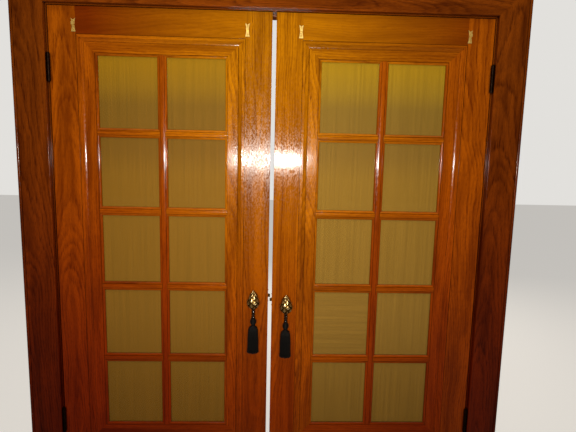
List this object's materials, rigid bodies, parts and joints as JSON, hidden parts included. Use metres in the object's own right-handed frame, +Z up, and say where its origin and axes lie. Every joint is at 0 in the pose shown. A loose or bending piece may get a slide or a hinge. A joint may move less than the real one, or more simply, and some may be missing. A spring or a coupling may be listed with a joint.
{
  "type": "french doors",
  "caption": "Pair of glazed oak doors hung in one jamb frame with casings, bevelled mouldings, knobs, latches, butt hinges, rod brackets and hanging tassels.",
  "frame": {"origin": "middle of the unit's width and depth, at floor level", "axes": "+Z up, +X to the right across the doorway, -Y out of the front, towards which the leaves swing"},
  "size_m": [2.016, 0.2211, 2.178],
  "materials": {
    "oak": "varnished honey oak",
    "glass": "clear",
    "film": "ribbed translucent",
    "dark_bronze": "dark bronze",
    "antique_brass": "antique",
    "bright_brass": "polished",
    "dull_brass": "dull",
    "latch_steel": "satin",
    "black_thread": "soft thread",
    "dark_beads": "glossy"
  },
  "bodies": {
    "frame": {"left_jamb": "oak", "right_jamb": "oak", "head_jamb": "oak", "door_stops": "oak", "left_casings": "oak", "right_casings": "oak", "head_casings": "oak", "jamb_hinge_plates": "dark_bronze", "hinge_pins": "dark_bronze", "jamb_hinge_screws": "dark_bronze"},
    "left_leaf": {"left_hinge_stile": "oak", "left_lock_stile": "oak", "left_top_rail": "oak", "left_bottom_rail": "oak", "left_moulding_uprights": "oak", "left_moulding_rails": "oak", "left_upright_bar": "oak", "left_cross_bars": "oak", "left_panes": "glass", "left_privacy_film": "film", "left_glazing_beads": "oak", "left_hinge_plates": "dark_bronze", "left_hinge_screws": "dark_bronze", "left_rod_brackets": "bright_brass", "left_trim_screws": "bright_brass", "left_latch_case": "latch_steel", "left_latch_faceplate": "dull_brass", "left_roses": "antique_brass"},
    "left_handle": {"left_knobs": "antique_brass", "left_spindle": "latch_steel"},
    "left_latch": {"left_latch_bolt": "dull_brass"},
    "left_tassel": {"left_tassel_cord": "black_thread", "left_tassel_beads": "dark_beads", "left_tassel_knot": "black_thread", "left_tassel_skirt": "black_thread"},
    "right_leaf": {"right_hinge_stile": "oak", "right_lock_stile": "oak", "right_top_rail": "oak", "right_bottom_rail": "oak", "right_moulding_uprights": "oak", "right_moulding_rails": "oak", "right_upright_bar": "oak", "right_cross_bars": "oak", "right_panes": "glass", "right_privacy_film": "film", "right_glazing_beads": "oak", "right_hinge_plates": "dark_bronze", "right_hinge_screws": "dark_bronze", "right_rod_brackets": "bright_brass", "right_trim_screws": "bright_brass", "right_latch_case": "latch_steel", "right_latch_faceplate": "dull_brass", "right_roses": "antique_brass"},
    "right_handle": {"right_knobs": "antique_brass", "right_spindle": "latch_steel"},
    "right_latch": {"right_latch_bolt": "dull_brass"},
    "right_tassel": {"right_tassel_cord": "black_thread", "right_tassel_beads": "dark_beads", "right_tassel_knot": "black_thread", "right_tassel_skirt": "black_thread"}
  },
  "joints": [
    {"name": "left_leaf_swing", "type": "hinge", "parent": "frame", "child": "left_leaf", "pos_m": [-0.8735, -0.05065, 1.026], "axis": [0, 0, -1], "range_deg": [0, 135]},
    {"name": "left_knob_turn", "type": "hinge", "parent": "left_leaf", "child": "left_handle", "pos_m": [-0.068, -0.0265, 0.899], "axis": [0, -1, 0], "range_deg": [0, 45], "stiffness_Nm_per_rad": 0.4, "springref_deg": -17.19},
    {"name": "left_bolt_slide", "type": "slide", "parent": "left_leaf", "child": "left_latch", "axis": [-1, 0, 0], "range_m": [0, 0.009]},
    {"name": "left_tassel_swing", "type": "hinge", "parent": "left_leaf", "child": "left_tassel", "pos_m": [-0.068, -0.073, 0.899], "axis": [0, -1, 0], "range_deg": [-15, 15]},
    {"name": "right_leaf_swing", "type": "hinge", "parent": "frame", "child": "right_leaf", "pos_m": [0.8735, -0.05065, 1.026], "axis": [0, 0, 1], "range_deg": [0, 135]},
    {"name": "right_knob_turn", "type": "hinge", "parent": "right_leaf", "child": "right_handle", "pos_m": [0.068, -0.0265, 0.881], "axis": [0, 1, 0], "range_deg": [0, 45], "stiffness_Nm_per_rad": 0.4, "springref_deg": -17.19},
    {"name": "right_bolt_slide", "type": "slide", "parent": "right_leaf", "child": "right_latch", "axis": [1, 0, 0], "range_m": [0, 0.009]},
    {"name": "right_tassel_swing", "type": "hinge", "parent": "right_leaf", "child": "right_tassel", "pos_m": [0.068, -0.073, 0.881], "axis": [0, 1, 0], "range_deg": [-15, 15]}
  ],
  "couplings": [
    {"joint": "left_bolt_slide", "follows": "left_knob_turn", "m_per_rad": 0.01145},
    {"joint": "right_bolt_slide", "follows": "right_knob_turn", "m_per_rad": 0.01145}
  ]
}
